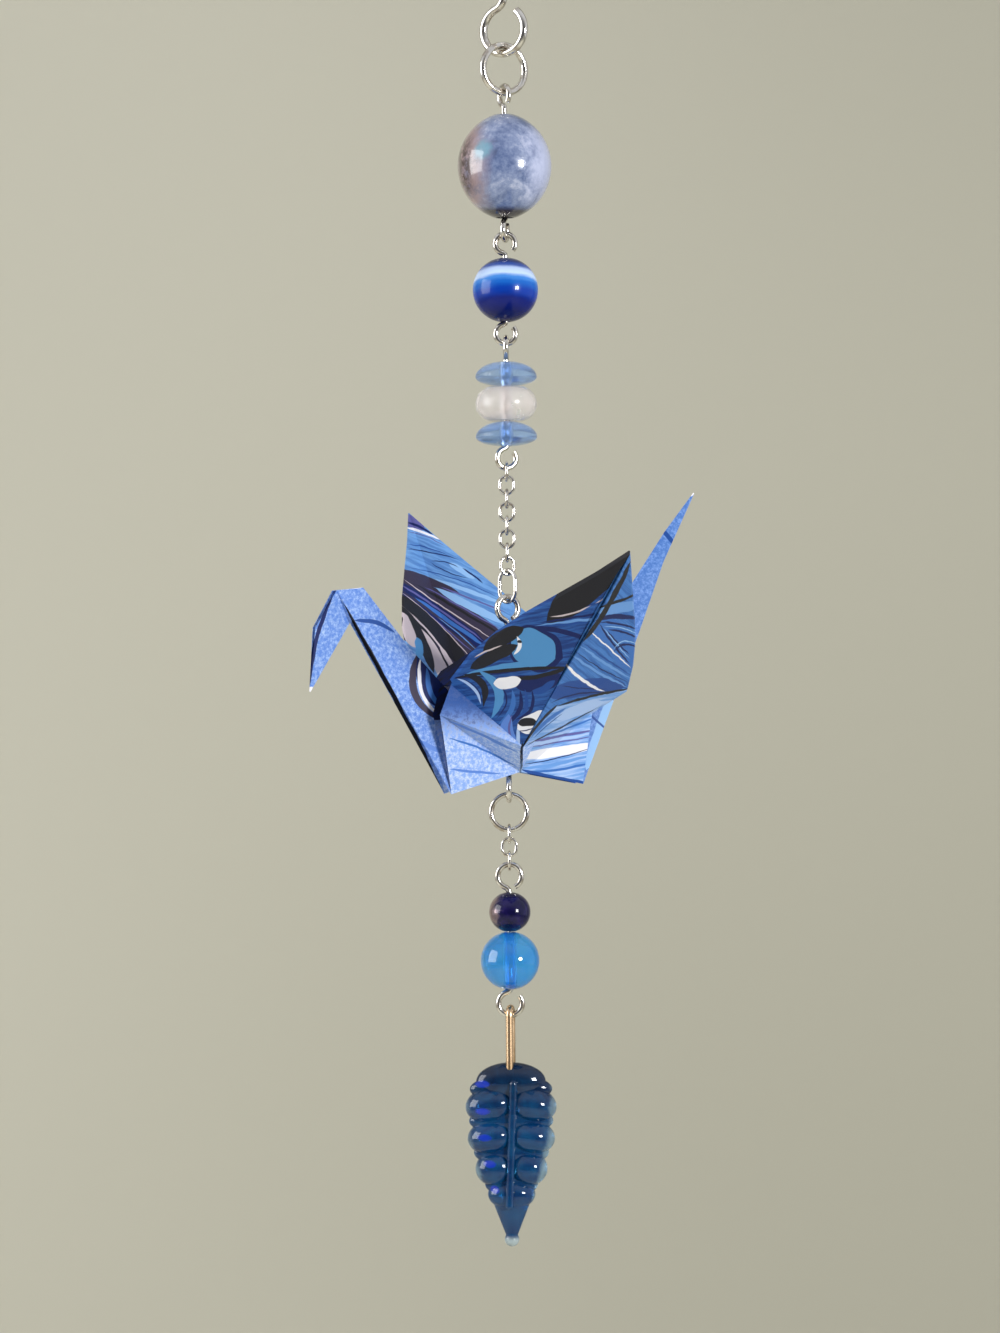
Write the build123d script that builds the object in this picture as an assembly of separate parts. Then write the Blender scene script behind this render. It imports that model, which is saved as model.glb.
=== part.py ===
"""Hanging ornament: a folded paper crane on a line of wire eye pins, beads, fine chain and a glass leaf.

Millimetres, +Z up. The origin is the inner top of the hanger hook, where the ornament hangs.
X runs to the right and Y away from the viewer. Every piece hangs on the Z axis.
"""

import math
import os

from build123d import *

# Clearances
link_clearance = 0.06
seat_clearance = 0.06
paper_clearance = 0.15

# Hanger hook
hook_wire = 1.0
hook_radius = 5.0
hook_bend = 3.0
hook_shank = 9.0
hook_eye_radius = 2.85
hook_eye_bend = 1.6
hook_open_turn = 232.0
hook_eye_turn = 300.0
hook_eye_yaw = -30.0

# Jump rings
ring_wire = 0.85
ring_diameter = 6.65
ring_yaw = 29.0
crane_ring_wire = 0.65
crane_ring_diameter = 5.0
crane_ring_yaw = 0.0
ring_cut = 0.1
top_ring_cut_angle = 215.0
crane_ring_cut_angle = 160.0

# Eye pins
pin_wire = 0.7
pin_eye_radius = 1.2
pin_eye_bend = 0.42
pin_eye_turn = 296.0
pin_end_gap = 0.1
large_eye_radius = 1.45
neck_eye_bend = 0.9
neck_eye_turn = 310.0
glazed_stand_off = 3.45
cats_eye_stand_off = 2.95
disc_stand_off = 2.9
drop_stand_off = 3.45
glazed_pin_yaws = (-62.0, 78.0)
cats_eye_pin_yaws = (0.0, 0.0)
disc_pin_yaws = (90.0, 20.0)
crane_pin_yaws = (30.0, 90.0)
drop_pin_yaws = (0.0, 0.0)

# Beads and discs
glazed_bead_diameter = 11.5
glazed_bead_height = 12.7
glazed_bead_hole = 2.0
cats_eye_diameter = 8.0
cats_eye_height = 7.8
bead_hole = 1.2
blue_disc_diameter = 7.5
blue_disc_height = 3.05
blue_disc_rim_drop = 0.4
rondelle_diameter = 7.5
rondelle_height = 4.15
rondelle_face = 4.2
dark_bead_diameter = 5.1
dark_bead_height = 4.75
blue_bead_diameter = 7.2
blue_bead_height = 7.0

# Chain
chain_wire = 0.4
chain_link_width = 2.1
chain_link_height = 2.5
upper_chain_links = 8
lower_chain_links = 3
last_link_yaw = 20.0
oval_wire = 0.5
oval_width = 3.2
oval_height = 4.4
oval_yaw = -45.0

# Paper crane
paper_side = 85.0
paper_thickness = 0.16
ply_gap = 0.42
crane_yaw = 22.0
crane_back_drop = 3.9
crane_belly_rise = 3.55
wing_slit = 0.8
slit_seam = 0.12

# Glass leaf
leaf_wire = 0.9
leaf_wire_yaw = 81.0
leaf_wire_rise = 6.6
leaf_wire_width = 2.6
leaf_wire_depth = 2.4
leaf_width = 11.2
leaf_height = 22.5
leaf_thickness = 4.6
leaf_tip_ball = 1.8

# Corners of the folded sheet as shares of the paper's side: towards the tail, away, up.
# They are measured from the crane's back, where the pin goes in.
fold_front_shares = {-1: (-0.103, -0.042, -0.074), 1: (-0.116, 0.042, -0.080)}
fold_rear_shares = {-1: (0.166, -0.042, -0.089), 1: (0.166, 0.042, -0.089)}
belly_shares = {-1: (-0.012, -0.082, -0.165), 1: (-0.012, 0.082, -0.165)}
wing_tip_shares = {-1: (-0.018, -0.471, 0.094), 1: (0.004, 0.412, 0.180)}
wing_front_bulge_shares = {-1: (-0.016, 0.0, 0.010), 1: (-0.022, 0.0, -0.004)}
wing_rear_bulge_shares = {-1: (0.010, 0.0, 0.004), 1: (0.004, 0.0, 0.006)}
belly_slit_shares = (0.011, 0.017, -0.205)
front_corner_shares = (-0.094, 0.014, -0.235)
rear_corner_shares = (0.110, 0.014, -0.224)
front_panel_edge_shares = (-0.119, 0.036, -0.122)
rear_panel_edge_shares = (0.116, 0.034, -0.122)
front_gusset_shares = (-0.060, 0.0, -0.085)
rear_gusset_shares = (0.070, 0.0, -0.075)
neck_spine_shares = (
    (-0.010, 0.0, -0.186),
    (-0.092, 0.0, -0.090),
    (-0.153, 0.0, -0.026),
    (-0.221, 0.0, 0.058),
)
neck_top_shares = (-0.263, 0.009, 0.054)
beak_notch_share = 0.86
beak_root_shares = (-0.242, 0.0, 0.008)
beak_cheek_shares = (-0.294, 0.006, 0.002)
beak_tip_shares = (-0.301, 0.0, -0.088)
tail_spine_shares = (
    (0.030, 0.0, -0.180),
    (0.116, 0.0, -0.055),
    (0.195, 0.0, 0.063),
    (0.249, 0.0, 0.140),
)
tail_open_shares = ((0.161, 0.013, -0.101), (0.200, 0.011, -0.010), (0.242, 0.009, 0.096))
tail_tip_shares = (0.296, 0.0, 0.198)
wing_slit_start_share = 0.35
wing_rows = 6

# Lobes of the leaf from the top, and the webs between them: place down the leaf, reach to the side, half
# height and half thickness, as shares of the leaf's height, half width, height and half thickness.
leaf_lobe_shares = (
    (0.231, 1.00, 0.100, 0.96),
    (0.403, 0.96, 0.096, 1.00),
    (0.573, 0.79, 0.098, 0.90),
)
leaf_web_shares = (
    (0.145, 0.90, 0.080, 0.60),
    (0.317, 0.92, 0.080, 0.66),
    (0.488, 0.82, 0.080, 0.62),
    (0.660, 0.58, 0.070, 0.58),
)
leaf_cap_shares = (0.105, 0.76, 0.105, 0.74)
leaf_shoulder_shares = (0.715, 0.52, 0.085, 0.80)
leaf_lobe_width_share = 0.56
leaf_lobe_droop = 9.0
leaf_point_share = 0.955
leaf_point_root_share = 0.92
leaf_point_width_share = 0.10
leaf_rib_share = 0.085
leaf_rib_length_share = 0.66
leaf_rib_place_share = 0.44
leaf_rib_depth_share = 0.76
leaf_rib_lean = 2.2


def wire_eye(radius, bend, turn, yaw, straight_end, side):
    """Path of a wire eye beyond the end of a straight shank on the Z axis.

    The wire leaves the shank in a small bend and then turns the other way round the eye.
    side is 1 for an eye at the upper end and -1 for one at the lower end."""
    rise = math.sqrt(radius * radius + 2 * radius * bend)
    lean = math.degrees(math.atan2(rise, bend))
    first_bend = CenterArc((-bend, 0), bend, 0, lean)
    loop = CenterArc((0, rise), radius, lean + 180, -turn)
    path = Curve() + [first_bend, loop]
    plane = Plane(origin=(0, 0, straight_end), x_dir=(side, 0, 0), z_dir=(0, -1, 0))
    if side < 0:
        plane = Plane(origin=(0, 0, straight_end), x_dir=(1, 0, 0), z_dir=(0, 1, 0))
    return Rot(0, 0, yaw) * (plane * path)


def eye_rise(radius, bend):
    """Height from the end of the shank to the wire's centre line at the far side of its eye."""
    return math.sqrt(radius * radius + 2 * radius * bend) + radius


def eye_pin(wire, top, bottom, upper, lower):
    """Round wire with an eye at each end. top and bottom are the wire's centre line at the far
    sides of its two eyes; upper and lower are (radius, bend, turn, yaw)."""
    upper_end = top - eye_rise(upper[0], upper[1])
    lower_end = bottom + eye_rise(lower[0], lower[1])
    start = (0, 0, (upper_end + lower_end) / 2)
    pieces = []
    for eye, end, side in ((upper, upper_end, 1), (lower, lower_end, -1)):
        shank = Line(start, (0, 0, end))
        path = Wire([shank] + list(wire_eye(eye[0], eye[1], eye[2], eye[3], end, side).edges()))
        section = Plane(origin=start, z_dir=(0, 0, side)) * Circle(wire / 2)
        pieces.append(sweep(section, path=path))
    return pieces[0] + pieces[1]


def jump_ring(wire, diameter, top, yaw, cut_angle):
    """Round wire ring that hangs with its upper wire's centre line at top, with the saw cut of its joint."""
    radius = (diameter - wire) / 2
    saw = Pos(0, 0, radius) * Box(ring_cut, wire * 2, wire * 2)
    ring = Rot(90, 0, 0) * Torus(radius, wire / 2)
    ring -= Rot(0, cut_angle, 0) * saw
    return Pos(0, 0, top - radius) * Rot(0, 0, yaw) * ring


def chain_link(wire, width, height, top, yaw):
    """Oval chain link that hangs with its upper wire's centre line at top."""
    radius = (width - wire) / 2
    half_straight = (height - wire) / 2 - radius
    outline = Wire(
        [
            CenterArc((0, half_straight), radius, 0, 180),
            Line((-radius, half_straight), (-radius, -half_straight)),
            CenterArc((0, -half_straight), radius, 180, 180),
            Line((radius, -half_straight), (radius, half_straight)),
        ]
    )
    path = Plane.XZ * outline
    section = Plane(origin=(radius, 0, half_straight), z_dir=(0, 0, 1)) * Circle(wire / 2)
    link = sweep(section, path=path)
    return Pos(0, 0, top - radius - half_straight) * Rot(0, 0, yaw) * link


def round_bead(diameter, height, hole):
    """Bead turned about its hole: a round belly between two mouths, which are eased by a small radius."""
    belly = ThreePointArc((hole / 2, -height / 2), (diameter / 2, 0), (hole / 2, height / 2))
    bore_line = Line((hole / 2, height / 2), (hole / 2, -height / 2))
    bead = revolve(Plane.XZ * make_face([belly, bore_line]), Axis.Z)
    mouths = bead.edges().filter_by(GeomType.CIRCLE).sort_by(Axis.Z)
    return fillet([mouths[0], mouths[-1]], hole / 8)


def domed_disc(diameter, height, rim_drop, hole):
    """Domed disc: a full dome over a shallow one, which meet in a round rim that sits below the middle."""
    rim_middle = (0, -rim_drop)
    upper = EllipticalCenterArc(rim_middle, diameter / 2, height / 2 + rim_drop, start_angle=0, arc_size=90)
    lower = EllipticalCenterArc(rim_middle, diameter / 2, height / 2 - rim_drop, start_angle=0, arc_size=-90)
    axis_line = Line((0, -height / 2), (0, height / 2))
    disc = revolve(Plane.XZ * make_face([upper, lower, axis_line]), Axis.Z)
    return disc - Cylinder(hole / 2, height * 2)


def rondelle(diameter, height, face, hole):
    """Squat rondelle: flat faces and a full round side."""
    side = ThreePointArc((face / 2, -height / 2), (diameter / 2, 0), (face / 2, height / 2))
    top_line = Line((face / 2, height / 2), (0, height / 2))
    axis_line = Line((0, height / 2), (0, -height / 2))
    bottom_line = Line((0, -height / 2), (face / 2, -height / 2))
    bead = revolve(Plane.XZ * make_face([side, top_line, axis_line, bottom_line]), Axis.Z)
    return bead - Cylinder(hole / 2, height * 2)


def fold_point(shares):
    return Vector(*shares) * paper_side


def mirrored(shares, side):
    """A corner that both sides of the fold have, on the near side (-1) or the far side (1)."""
    return Vector(shares[0], shares[1] * side, shares[2]) * paper_side


def bowed_edge(start, end, bulge, rows):
    """Points along a folded edge that bows most, by the whole bulge, a third of the way from its start."""
    full_bow = 27 / 4
    points = []
    for row in range(rows + 1):
        along = row / rows
        bow = full_bow * along * (1 - along) ** 2
        points.append(start + (end - start) * along + bulge * bow)
    return points


def ribbon(left, right):
    """Facets between two edges with the same number of points."""
    facets = []
    for row in range(len(left) - 1):
        facets.append((left[row], right[row], right[row + 1]))
        facets.append((left[row], right[row + 1], left[row + 1]))
    return facets


def wing(side):
    """Facets of one wing and of the body panels below it.

    The wing is two plies: the paper's corner, and its two edges folded under to meet along the middle."""
    front_root = fold_point(fold_front_shares[side])
    rear_root = fold_point(fold_rear_shares[side])
    belly = fold_point(belly_shares[side])
    tip = fold_point(wing_tip_shares[side])
    front = bowed_edge(front_root, tip, fold_point(wing_front_bulge_shares[side]), wing_rows)
    rear = bowed_edge(rear_root, tip, fold_point(wing_rear_bulge_shares[side]), wing_rows)
    keel = bowed_edge(belly, tip, Vector(0, 0, 0), wing_rows)
    up = (rear_root - front_root).cross(tip - front_root).normalized()
    if up.Z < 0:
        up = -up
    lift = up * (ply_gap / 2)
    along = (tip - belly).normalized()
    top_front = [point + lift for point in front]
    top_rear = [point + lift for point in rear]
    top_keel = [point + lift for point in keel]
    facets = ribbon(top_front, top_keel) + ribbon(top_keel, top_rear)
    roots = {"top_front": top_front[0], "top_rear": top_rear[0], "top_keel": top_keel[0]}
    for name, edge in (("front", front), ("rear", rear)):
        fold = []
        raw = []
        for row in range(wing_rows):
            outward = (edge[row] - keel[row]).normalized()
            fold.append(edge[row] + outward * (ply_gap / 2))
            open_share = max(0.0, (row / wing_rows - wing_slit_start_share) / (1 - wing_slit_start_share))
            half_slit = slit_seam / 2 + wing_slit / 2 * math.sin(math.pi * open_share)
            raw.append(keel[row] - lift + outward * half_slit)
        fold.append(tip + along * (ply_gap / 2))
        raw.append(tip - lift)
        under = [point - lift for point in edge]
        facets += ribbon([point + lift for point in edge], fold)
        facets += ribbon(fold, under)
        facets += ribbon(under, raw)
        roots[name + "_under"] = under[0]
        roots[name + "_raw"] = raw[0]
    return facets, roots


def body_panels(side, roots):
    """The two panels below one wing, each from the wing's crease to the crane's lower edge."""
    facets = []
    for name, direction, edge_shares, corner_shares in (
        ("front", -1, front_panel_edge_shares, front_corner_shares),
        ("rear", 1, rear_panel_edge_shares, rear_corner_shares),
    ):
        slit_foot = mirrored(belly_slit_shares, side) + Vector(direction * slit_seam, 0, 0)
        edge = mirrored(edge_shares, side)
        corner = mirrored(corner_shares, side)
        facets.append((roots[name + "_under"], roots[name + "_raw"], edge))
        facets.append((edge, roots[name + "_raw"], slit_foot))
        facets.append((edge, slit_foot, corner))
        roots[name + "_foot"] = slit_foot
        roots[name + "_corner"] = corner
    return facets


def neck_and_head(side, roots):
    """One wall of the neck, folded up inside the body, and one wall of the beak, folded down at its top."""
    spine = [fold_point(shares) for shares in neck_spine_shares]
    open_top = mirrored(neck_top_shares, side)
    corner = roots["front_corner"]
    notch_edge = corner + (open_top - corner) * beak_notch_share
    open_edge = [corner + (notch_edge - corner) * row / 3 for row in range(4)]
    facets = [(corner, roots["front_foot"], spine[0])]
    facets += ribbon(spine, open_edge)
    facets.append((spine[-1], notch_edge, open_top))
    beak_root = fold_point(beak_root_shares)
    cheek = mirrored(beak_cheek_shares, side)
    facets.append((open_top, notch_edge, beak_root))
    facets.append((open_top, beak_root, cheek))
    facets.append((cheek, beak_root, fold_point(beak_tip_shares)))
    if side > 0:
        facets.append((spine[-1], open_top, mirrored(neck_top_shares, -side)))
    return facets


def tail(side, roots):
    """One wall of the tail, folded up inside the body and tapering to its tip."""
    spine = [fold_point(shares) for shares in tail_spine_shares]
    corner = roots["rear_corner"]
    open_edge = [corner] + [mirrored(shares, side) for shares in tail_open_shares]
    facets = [(corner, roots["rear_foot"], spine[0])]
    facets += ribbon(spine, open_edge)
    facets.append((spine[-1], open_edge[-1], fold_point(tail_tip_shares)))
    return facets


def back_facets(near, far):
    """The crane's back, round the hole for the pin: eight creases run out from it."""
    ring = [
        near["top_front"],
        near["top_keel"],
        near["top_rear"],
        fold_point(rear_gusset_shares),
        far["top_rear"],
        far["top_keel"],
        far["top_front"],
        fold_point(front_gusset_shares),
    ]
    hole_radius = pin_wire / 2 + paper_clearance + paper_thickness
    hole = []
    for corner in ring:
        reach = math.hypot(corner.X, corner.Y)
        hole.append(corner * (hole_radius / max(reach, hole_radius)))
    return ribbon(hole + hole[:1], ring + ring[:1])


def sheet_solid(facets, thickness):
    """Give a folded sheet its thickness, by moving every corner both ways out of the facets round it."""
    corners = []
    index = {}
    faces = []
    for facet in facets:
        numbers = []
        for corner in facet:
            key = (round(corner.X, 4), round(corner.Y, 4), round(corner.Z, 4))
            if key not in index:
                index[key] = len(corners)
                corners.append(corner)
            numbers.append(index[key])
        if len(set(numbers)) == 3:
            faces.append(tuple(numbers))
    faces = same_way_round(faces)
    around = [[] for _ in corners]
    for a, b, c in faces:
        normal = (corners[b] - corners[a]).cross(corners[c] - corners[a]).normalized()
        for corner in (a, b, c):
            around[corner].append(normal)
    steps = [outward_step(normals) * (thickness / 2) for normals in around]
    upper = [corner + step for corner, step in zip(corners, steps)]
    lower = [corner - step for corner, step in zip(corners, steps)]
    edges = {}
    for a, b, c in faces:
        for edge in ((a, b), (b, c), (c, a)):
            edges[edge] = edges.get(edge, 0) + 1
    triangles = [(upper[a], upper[b], upper[c]) for a, b, c in faces]
    triangles += [(lower[c], lower[b], lower[a]) for a, b, c in faces]
    for a, b in edges:
        if (b, a) not in edges:
            triangles.append((upper[b], upper[a], lower[a]))
            triangles.append((upper[b], lower[a], lower[b]))
    shell = Shell([Face(Wire.make_polygon(triangle)) for triangle in triangles])
    return Solid(shell)


def outward_step(normals):
    """Unit step that leaves every facet round a corner on the same side, as steeply as it can."""
    total = sum(normals[1:], normals[0])
    for _ in range(200):
        flattest = min(normals, key=total.dot)
        total += flattest * 0.1
    return total.normalized()


def same_way_round(faces):
    """Turn the facets so that neighbours run the same way round."""
    by_edge = {}
    for number, face in enumerate(faces):
        for start, end in zip(face, face[1:] + face[:1]):
            by_edge.setdefault(frozenset((start, end)), []).append(number)
    turned = {0: faces[0]}
    waiting = [0]
    while waiting:
        face = turned[waiting.pop()]
        for start, end in zip(face, face[1:] + face[:1]):
            for number in by_edge[frozenset((start, end))]:
                if number in turned:
                    continue
                other = faces[number]
                runs = list(zip(other, other[1:] + other[:1]))
                turned[number] = other[::-1] if (start, end) in runs else other
                waiting.append(number)
    return [turned[number] for number in sorted(turned)]


def folded_crane():
    """The whole sheet, with the crane's back at the origin and its head towards -X."""
    near_facets, near = wing(-1)
    far_facets, far = wing(1)
    facets = near_facets + far_facets + back_facets(near, far)
    for side, roots in ((-1, near), (1, far)):
        facets += body_panels(side, roots)
        facets += neck_and_head(side, roots)
        facets += tail(side, roots)
    return sheet_solid(facets, paper_thickness)


def ellipsoid(half_x, half_y, half_z):
    return scale(Sphere(1), by=(half_x, half_y, half_z))


def leaf_body(top):
    """Pressed leaf: a cap, three pairs of drooping lobes with thinner webs between them, and a pointed end.
    A raised rib runs down both faces, and a bead of glass ends the point."""
    half_width = leaf_width / 2
    half_thick = leaf_thickness / 2
    leaf = None
    for place, reach, half_height, thick in (leaf_cap_shares, leaf_shoulder_shares) + leaf_web_shares:
        swell = ellipsoid(reach * half_width, thick * half_thick, half_height * leaf_height)
        swell = Pos(0, 0, top - place * leaf_height) * swell
        leaf = swell if leaf is None else leaf + swell
    for place, reach, half_height, thick in leaf_lobe_shares:
        lobe_half = leaf_lobe_width_share * reach * half_width
        lobe = ellipsoid(lobe_half, thick * half_thick, half_height * leaf_height)
        for hand in (-1, 1):
            leaf += Pos(hand * (reach * half_width - lobe_half), 0, top - place * leaf_height) * (
                Rot(0, hand * leaf_lobe_droop, 0) * lobe
            )
    shoulder, reach, _, thick = leaf_shoulder_shares
    point_length = (leaf_point_share - shoulder) * leaf_height
    root_half = leaf_point_root_share * reach * half_width
    point = Cone(leaf_point_width_share * half_width, root_half, point_length)
    point = scale(point, by=(1, thick * half_thick / (reach * half_width), 1))
    leaf += Pos(0, 0, top - shoulder * leaf_height - point_length / 2) * point
    rib_half = leaf_rib_share * half_width
    rib_length = leaf_height * leaf_rib_length_share
    rib = Cylinder(rib_half, rib_length)
    for end in (-1, 1):
        rib += Pos(0, 0, end * rib_length / 2) * Sphere(rib_half)
    rib = Rot(0, leaf_rib_lean, 0) * rib
    rib_place = top - leaf_height * leaf_rib_place_share
    for face in (-1, 1):
        leaf += Pos(0, face * half_thick * leaf_rib_depth_share, rib_place) * rib
    leaf += Pos(0, 0, top - leaf_height + leaf_tip_ball / 2) * Sphere(leaf_tip_ball / 2)
    return leaf


def leaf_loop(top):
    """Long loop of wire that is cast into the top of the leaf with both ends."""
    radius = (leaf_wire_width - leaf_wire) / 2
    foot = top - leaf_wire_rise - leaf_wire_depth
    path = Plane.XZ * Wire(
        [
            Line((-radius, foot), (-radius, top - radius)),
            CenterArc((0, top - radius), radius, 180, -180),
            Line((radius, top - radius), (radius, foot)),
        ]
    )
    section = Plane(origin=(-radius, 0, foot), z_dir=(0, 0, 1)) * Circle(leaf_wire / 2)
    return Rot(0, 0, leaf_wire_yaw) * sweep(section, path=path)


def hang_below(parent_wire, child_wire, parent_bottom):
    """Height of the hanging piece's upper wire, which lies over the lower wire of the piece that holds it."""
    return parent_bottom + parent_wire / 2 + child_wire / 2 + link_clearance


os.makedirs("parts", exist_ok=True)
nodes = {}



def small_eyes(yaws):
    """The two round eyes of a bead's pin."""
    return [(pin_eye_radius, pin_eye_bend, pin_eye_turn, yaw) for yaw in yaws]


def large_eyes(yaws):
    """A large eye drawn in to a neck at the top of a pin, and a large round one at its foot."""
    upper_yaw, lower_yaw = yaws
    upper = (large_eye_radius, neck_eye_bend, neck_eye_turn, upper_yaw)
    return [upper, (large_eye_radius, pin_eye_bend, pin_eye_turn, lower_yaw)]


# Hanger hook
hook_top = hook_wire / 2
hook_bottom = (
    hook_top - eye_rise(hook_radius, hook_bend) - hook_shank - eye_rise(hook_eye_radius, hook_eye_bend)
)
nodes["hanger_hook"] = eye_pin(
    hook_wire,
    hook_top,
    hook_bottom,
    (hook_radius, hook_bend, hook_open_turn, 0.0),
    (hook_eye_radius, hook_eye_bend, hook_eye_turn, hook_eye_yaw),
)

# Top jump ring
ring_top = hang_below(hook_wire, ring_wire, hook_bottom)
ring_bottom = ring_top - ring_diameter + ring_wire
nodes["top_jump_ring"] = jump_ring(ring_wire, ring_diameter, ring_top, ring_yaw, top_ring_cut_angle)


def strung_pin(parent_wire, parent_bottom, stand_off, eyes, heights):
    """Eye pin that holds beads of these heights, the first one stand_off below its upper wire.
    Gives the pin, the beads' middles and its lower wire."""
    top = hang_below(parent_wire, pin_wire, parent_bottom)
    stack = sum(heights) + seat_clearance * (len(heights) - 1)
    upper, lower = eyes
    bottom = top - stand_off - stack - eye_rise(lower[0], lower[1]) + pin_end_gap
    middles = []
    place = top - stand_off
    for height in heights:
        middles.append(place - height / 2)
        place -= height + seat_clearance
    return eye_pin(pin_wire, top, bottom, upper, lower), middles, bottom


# Glazed bead on its pin
nodes["glazed_bead_pin"], middles, glazed_bottom = strung_pin(
    ring_wire, ring_bottom, glazed_stand_off, small_eyes(glazed_pin_yaws), [glazed_bead_height]
)
nodes["glazed_bead"] = Pos(0, 0, middles[0]) * round_bead(
    glazed_bead_diameter, glazed_bead_height, glazed_bead_hole
)

# Cat's-eye bead on its pin
nodes["cats_eye_pin"], middles, cats_bottom = strung_pin(
    pin_wire, glazed_bottom, cats_eye_stand_off, small_eyes(cats_eye_pin_yaws), [cats_eye_height]
)
nodes["cats_eye_bead"] = Pos(0, 0, middles[0]) * round_bead(cats_eye_diameter, cats_eye_height, bead_hole)

# Stack of three discs on its pin
nodes["disc_stack_pin"], middles, disc_bottom = strung_pin(
    pin_wire,
    cats_bottom,
    disc_stand_off,
    small_eyes(disc_pin_yaws),
    [blue_disc_height, rondelle_height, blue_disc_height],
)
blue_disc = domed_disc(blue_disc_diameter, blue_disc_height, blue_disc_rim_drop, bead_hole)
nodes["upper_blue_disc"] = Pos(0, 0, middles[0]) * blue_disc
nodes["white_rondelle"] = Pos(0, 0, middles[1]) * rondelle(
    rondelle_diameter, rondelle_height, rondelle_face, bead_hole
)
nodes["lower_blue_disc"] = Pos(0, 0, middles[2]) * blue_disc

# Upper chain
held_wire = pin_wire
held_bottom = disc_bottom
link_drop = chain_link_height - chain_wire
for number in range(upper_chain_links):
    link_top = hang_below(held_wire, chain_wire, held_bottom)
    link_yaw = 90.0 * ((number + 1) % 2)
    if number == upper_chain_links - 1:
        link_yaw = last_link_yaw
    nodes[f"chain_link_{number + 1}"] = chain_link(
        chain_wire, chain_link_width, chain_link_height, link_top, link_yaw
    )
    held_wire = chain_wire
    held_bottom = link_top - link_drop
oval_top = hang_below(chain_wire, oval_wire, held_bottom)
oval_bottom = oval_top - oval_height + oval_wire
nodes["oval_link"] = chain_link(oval_wire, oval_width, oval_height, oval_top, oval_yaw)

# Crane on its pin
crane_pin_top = hang_below(oval_wire, pin_wire, oval_bottom)
crane_back = crane_pin_top - crane_back_drop
belly_drop = -belly_slit_shares[2] * paper_side
crane_pin_bottom = crane_back - belly_drop - crane_belly_rise
upper_eye, lower_eye = large_eyes(crane_pin_yaws)
nodes["crane_pin"] = eye_pin(pin_wire, crane_pin_top, crane_pin_bottom, upper_eye, lower_eye)
nodes["paper_crane"] = Pos(0, 0, crane_back) * Rot(0, 0, crane_yaw) * folded_crane()

# Ring and chain below the crane
crane_ring_top = hang_below(pin_wire, crane_ring_wire, crane_pin_bottom)
held_wire = crane_ring_wire
held_bottom = crane_ring_top - crane_ring_diameter + crane_ring_wire
nodes["crane_ring"] = jump_ring(
    crane_ring_wire, crane_ring_diameter, crane_ring_top, crane_ring_yaw, crane_ring_cut_angle
)
for number in range(lower_chain_links):
    link_top = hang_below(held_wire, chain_wire, held_bottom)
    nodes[f"lower_chain_link_{number + 1}"] = chain_link(
        chain_wire, chain_link_width, chain_link_height, link_top, 90.0 * ((number + 1) % 2)
    )
    held_wire = chain_wire
    held_bottom = link_top - link_drop

# Two beads on the drop pin
nodes["drop_pin"], middles, drop_bottom = strung_pin(
    chain_wire, held_bottom, drop_stand_off, large_eyes(drop_pin_yaws), [dark_bead_height, blue_bead_height]
)
nodes["dark_bead"] = Pos(0, 0, middles[0]) * round_bead(dark_bead_diameter, dark_bead_height, bead_hole)
nodes["blue_bead"] = Pos(0, 0, middles[1]) * round_bead(blue_bead_diameter, blue_bead_height, bead_hole)

# Leaf on its wire
leaf_wire_top = hang_below(pin_wire, leaf_wire, drop_bottom)
nodes["leaf_wire"] = leaf_loop(leaf_wire_top)
nodes["glass_leaf"] = leaf_body(leaf_wire_top - leaf_wire_rise) - nodes["leaf_wire"]

for name, solid in nodes.items():
    export_step(solid, f"parts/{name}.step")
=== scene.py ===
"""Hanging ornament: a folded paper crane on a line of wire eye pins, beads, fine chain and a glass leaf."""

import math

import bpy
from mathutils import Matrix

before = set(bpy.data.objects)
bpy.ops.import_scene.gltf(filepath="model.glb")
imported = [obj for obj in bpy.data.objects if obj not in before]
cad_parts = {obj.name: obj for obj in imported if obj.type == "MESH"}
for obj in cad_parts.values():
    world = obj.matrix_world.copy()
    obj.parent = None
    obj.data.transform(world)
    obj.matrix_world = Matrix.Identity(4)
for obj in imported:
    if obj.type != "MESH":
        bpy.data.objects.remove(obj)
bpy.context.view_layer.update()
bpy.context.scene.view_settings.view_transform = "Standard"

# Hook, jump rings, eye pins and chain: round steel wire with a bright silver plate.
# Every eye is turned by hand round a mandrel, so the plate has fine drawing marks and small rubbed spots.


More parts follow.
